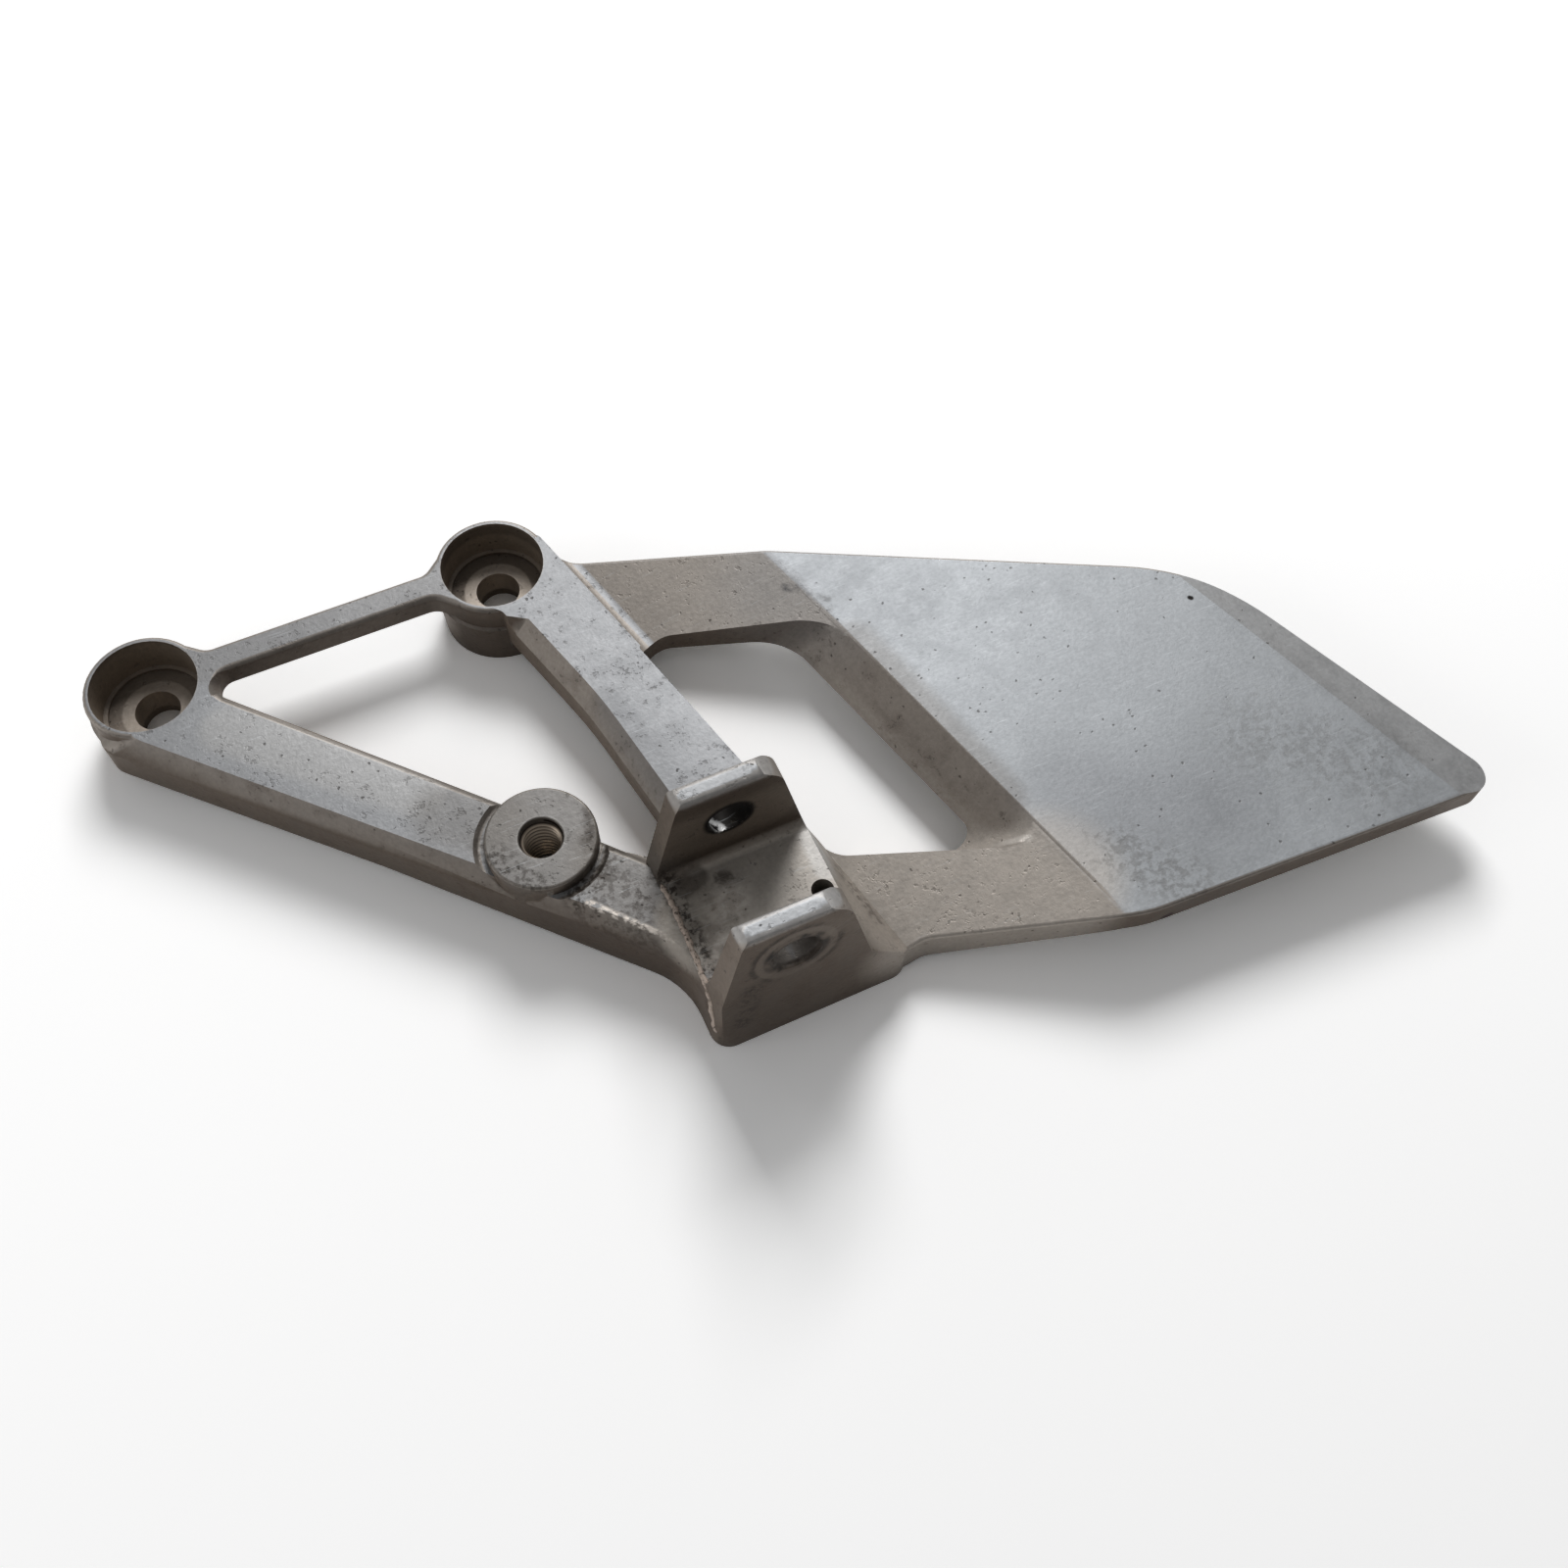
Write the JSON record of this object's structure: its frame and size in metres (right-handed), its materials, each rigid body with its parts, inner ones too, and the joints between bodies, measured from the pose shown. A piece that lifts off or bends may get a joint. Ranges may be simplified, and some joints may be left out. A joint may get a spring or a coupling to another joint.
{
  "type": "motorcycle footrest hanger",
  "caption": "One-piece cast aluminium footrest hanger: bolt lugs joined by a tie bar, open frame arms, a threaded boss, a forked footrest pivot and a flat heel plate.",
  "frame": {"origin": "axis of the first bolt hole at the rear seating plane of its lug", "axes": "+X from the first bolt hole to the second, +Y along the footrest pivot pin towards the bolt lugs, +Z along the bolts away from the motorcycle"},
  "size_m": [0.2365, 0.1355, 0.039],
  "materials": {
    "cast_aluminium": "worn as-cast, matt"
  },
  "bodies": {
    "root": {"hanger_casting": "cast_aluminium"}
  },
  "joints": []
}
